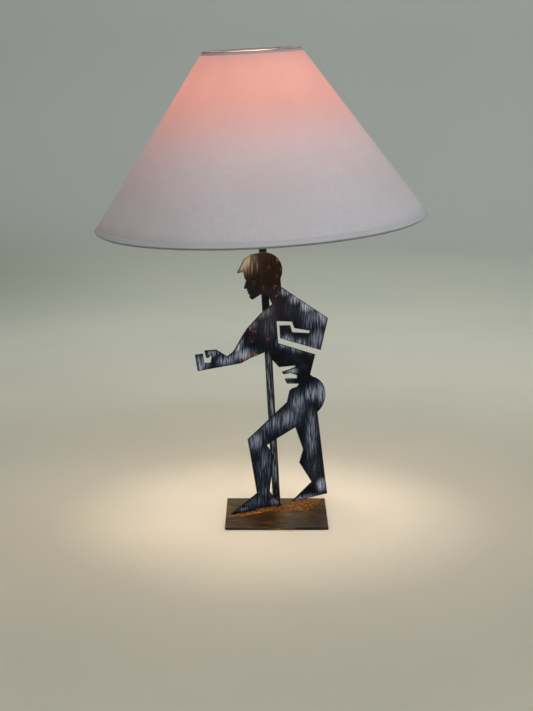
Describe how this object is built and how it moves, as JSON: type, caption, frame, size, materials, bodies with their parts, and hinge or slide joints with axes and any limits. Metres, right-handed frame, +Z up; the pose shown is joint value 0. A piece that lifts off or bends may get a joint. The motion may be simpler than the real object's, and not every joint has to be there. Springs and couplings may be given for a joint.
{
  "type": "figural table lamp",
  "caption": "Table lamp with a striding figure cut from steel plate on a flat base, a leaning tube post behind it, a keyed lampholder, a harp and a wide cone shade.",
  "frame": {"origin": "centre of the base, on the surface the lamp stands on", "axes": "+Z up, -Y towards the viewer of the picture, +X to the viewer's right along the base's front edge"},
  "size_m": [0.5085, 0.5092, 0.7294],
  "materials": {
    "bronzed_steel": "olive-brown bronzed steel, brushed lengthwise, rust along the welds",
    "brushed_black_steel": "blue-black painted steel dry-brushed with silver, bronze-brown on the head",
    "black_steel": "black painted tube with a dry-brushed grey streak",
    "weld_metal": "as-laid weld bead, dull silver with rust",
    "felt": "dark pressed felt",
    "rubber": "matt",
    "zinc_steel": "zinc plated",
    "harp_steel": "nickel-plated wire",
    "brass": "lacquered, satin",
    "insulating_paper": "vulcanised fibre",
    "moulded_black": "moulded phenolic",
    "aluminium": "rolled",
    "shade_fabric": "fine plain weave, off-white with a cool cast",
    "shade_liner": "white styrene backing",
    "hem_tape": "folded cotton tape",
    "white_wire": "white enamelled wire",
    "solder": "tinned",
    "bulb_insulator": "black vitrified glass",
    "bulb_housing": "white moulded",
    "bulb_globe": "opal diffuser, lit warm",
    "led_board": "flat board"
  },
  "bodies": {
    "root": {"base_plate": "bronzed_steel", "base_felt": "felt", "figure_plate": "brushed_black_steel", "foot_weld": "weld_metal", "post_tube": "black_steel", "post_weld": "weld_metal", "post_tack_welds": "weld_metal", "cord_bushing": "rubber", "threaded_nipple": "zinc_steel", "seat_washer": "zinc_steel", "harp_saddle": "zinc_steel", "lock_nut": "zinc_steel", "socket_cap": "brass", "socket_shell": "brass", "socket_sleeve": "insulating_paper", "socket_body": "moulded_black", "socket_screw_shell": "aluminium", "socket_contact": "brass", "terminal_screws": "brass"},
    "switch": {"switch_shaft": "brass", "switch_key": "moulded_black"},
    "harp": {"harp_wire": "harp_steel", "harp_stud": "brass"},
    "ferrule_left": {"harp_ferrule_left": "brass"},
    "ferrule_right": {"harp_ferrule_right": "brass"},
    "shade": {"shade_fabric": "shade_fabric", "shade_liner": "shade_liner", "shade_bottom_ring": "white_wire", "shade_top_ring": "white_wire", "shade_bottom_hem": "hem_tape", "shade_top_hem": "hem_tape", "spider_hub": "white_wire", "spider_arms": "white_wire"},
    "finial": {"finial": "brass"},
    "bulb": {"bulb_contact": "solder", "bulb_insulator": "bulb_insulator", "bulb_screw_base": "aluminium", "bulb_housing": "bulb_housing", "bulb_globe": "bulb_globe", "bulb_led_board": "led_board"}
  },
  "joints": [
    {"name": "switch_turn", "type": "hinge", "parent": "root", "child": "switch", "pos_m": [-0.02752, 0.02282, 0.52902], "axis": [0, -0.9996, -0.0282], "continuous": true},
    {"name": "bulb_turn", "type": "hinge", "parent": "root", "child": "bulb", "pos_m": [-0.03211, 0.02043, 0.61356], "axis": [-0.0542, -0.0282, 0.9981], "continuous": true},
    {"name": "harp_lift", "type": "slide", "parent": "root", "child": "harp", "axis": [-0.0542, -0.0282, 0.9981], "range_m": [0, 0.016]},
    {"name": "ferrule_left_slide", "type": "slide", "parent": "harp", "child": "ferrule_left", "axis": [-0.0542, -0.0282, 0.9981], "range_m": [0, 0.015]},
    {"name": "ferrule_right_slide", "type": "slide", "parent": "harp", "child": "ferrule_right", "axis": [-0.0542, -0.0282, 0.9981], "range_m": [0, 0.015]},
    {"name": "shade_turn", "type": "hinge", "parent": "harp", "child": "shade", "pos_m": [-0.03675, 0.01801, 0.6992], "axis": [-0.0542, -0.0282, 0.9981], "continuous": true},
    {"name": "finial_turn", "type": "hinge", "parent": "harp", "child": "finial", "pos_m": [-0.03684, 0.01797, 0.7007], "axis": [-0.0542, -0.0282, 0.9981], "continuous": true}
  ]
}
